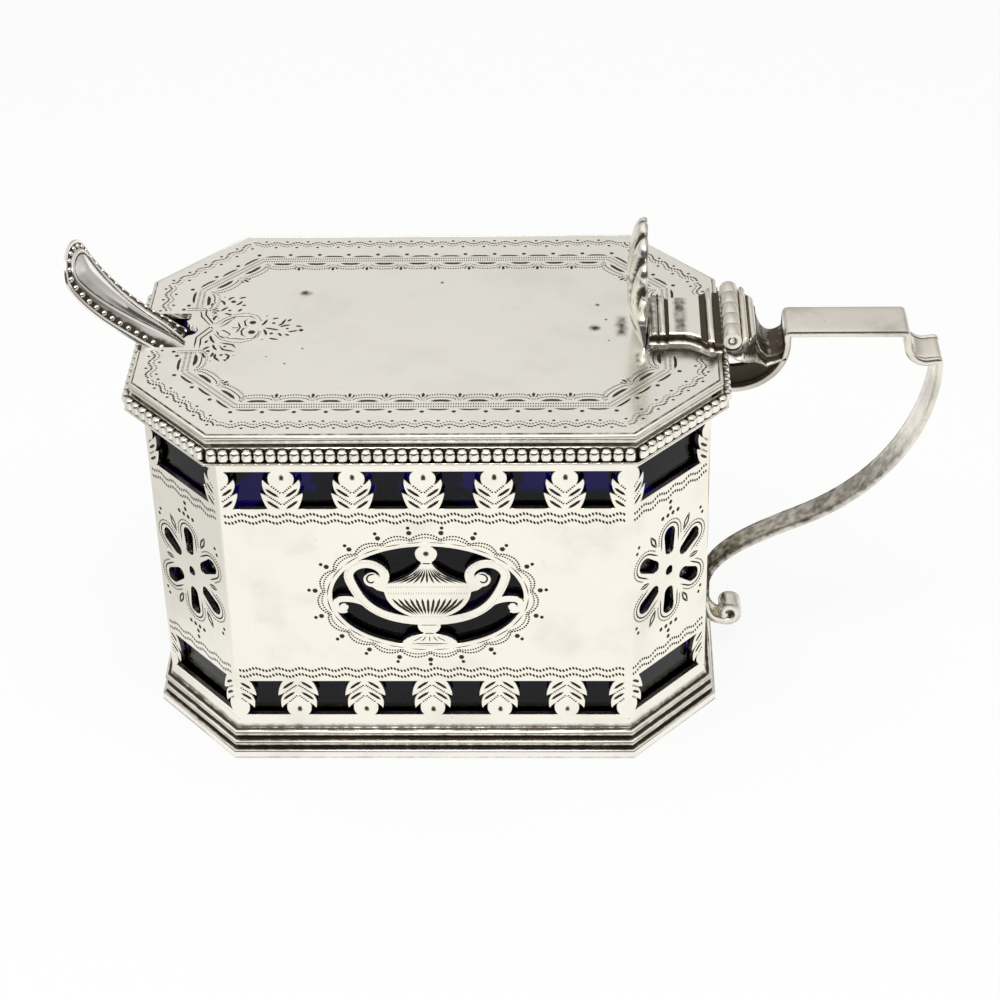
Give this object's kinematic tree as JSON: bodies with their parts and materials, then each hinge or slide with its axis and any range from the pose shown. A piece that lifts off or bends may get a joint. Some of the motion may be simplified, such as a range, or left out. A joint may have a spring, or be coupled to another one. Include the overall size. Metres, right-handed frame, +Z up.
{
  "type": "mustard pot",
  "caption": "Mustard pot with cut corners: pierced silver wall on a reeded foot, beaded rim, hinged engraved lid with shell thumbpiece, strap handle, blue glass liner and spoon.",
  "frame": {"origin": "middle of the flat base, on the table", "axes": "+X along the pot towards the handle, +Y to the back, away from the viewer, +Z up"},
  "size_m": [0.1304, 0.0608, 0.0773],
  "materials": {
    "polished_silver": "polished silver, softened by wear, with dark tarnish in the recesses",
    "toned_silver": "polished silver with more tarnish round the hinge and along the handle",
    "cobalt_glass": "deep cobalt blue glass, fire polished"
  },
  "bodies": {
    "pot": {"floor_plate": "polished_silver", "pierced_wall": "polished_silver", "foot_moulding": "polished_silver", "rim_strip": "polished_silver", "rim_beads": "polished_silver", "handle_strap": "toned_silver", "hinge_block": "toned_silver", "body_knuckles": "toned_silver", "hinge_pin": "toned_silver"},
    "lid": {"lid_plate": "polished_silver", "lid_edge_wire": "polished_silver", "lid_bezel": "polished_silver", "thumbpiece": "polished_silver", "lid_hinge_leaf": "polished_silver", "lid_knuckles": "toned_silver"},
    "liner": {"glass_liner": "cobalt_glass"},
    "spoon": {"mustard_spoon": "polished_silver"}
  },
  "joints": [
    {"name": "lid_hinge", "type": "hinge", "parent": "pot", "child": "lid", "pos_m": [0.04515, 0, 0.0618], "axis": [0, 1, 0], "range_deg": [0, 110]},
    {"name": "liner_lift", "type": "slide", "parent": "pot", "child": "liner", "axis": [0, 0, 1], "range_m": [0, 0.0005]},
    {"name": "spoon_lift", "type": "slide", "parent": "liner", "child": "spoon", "axis": [-0.8091, 0, 0.5876], "range_m": [0, 0.045]}
  ]
}
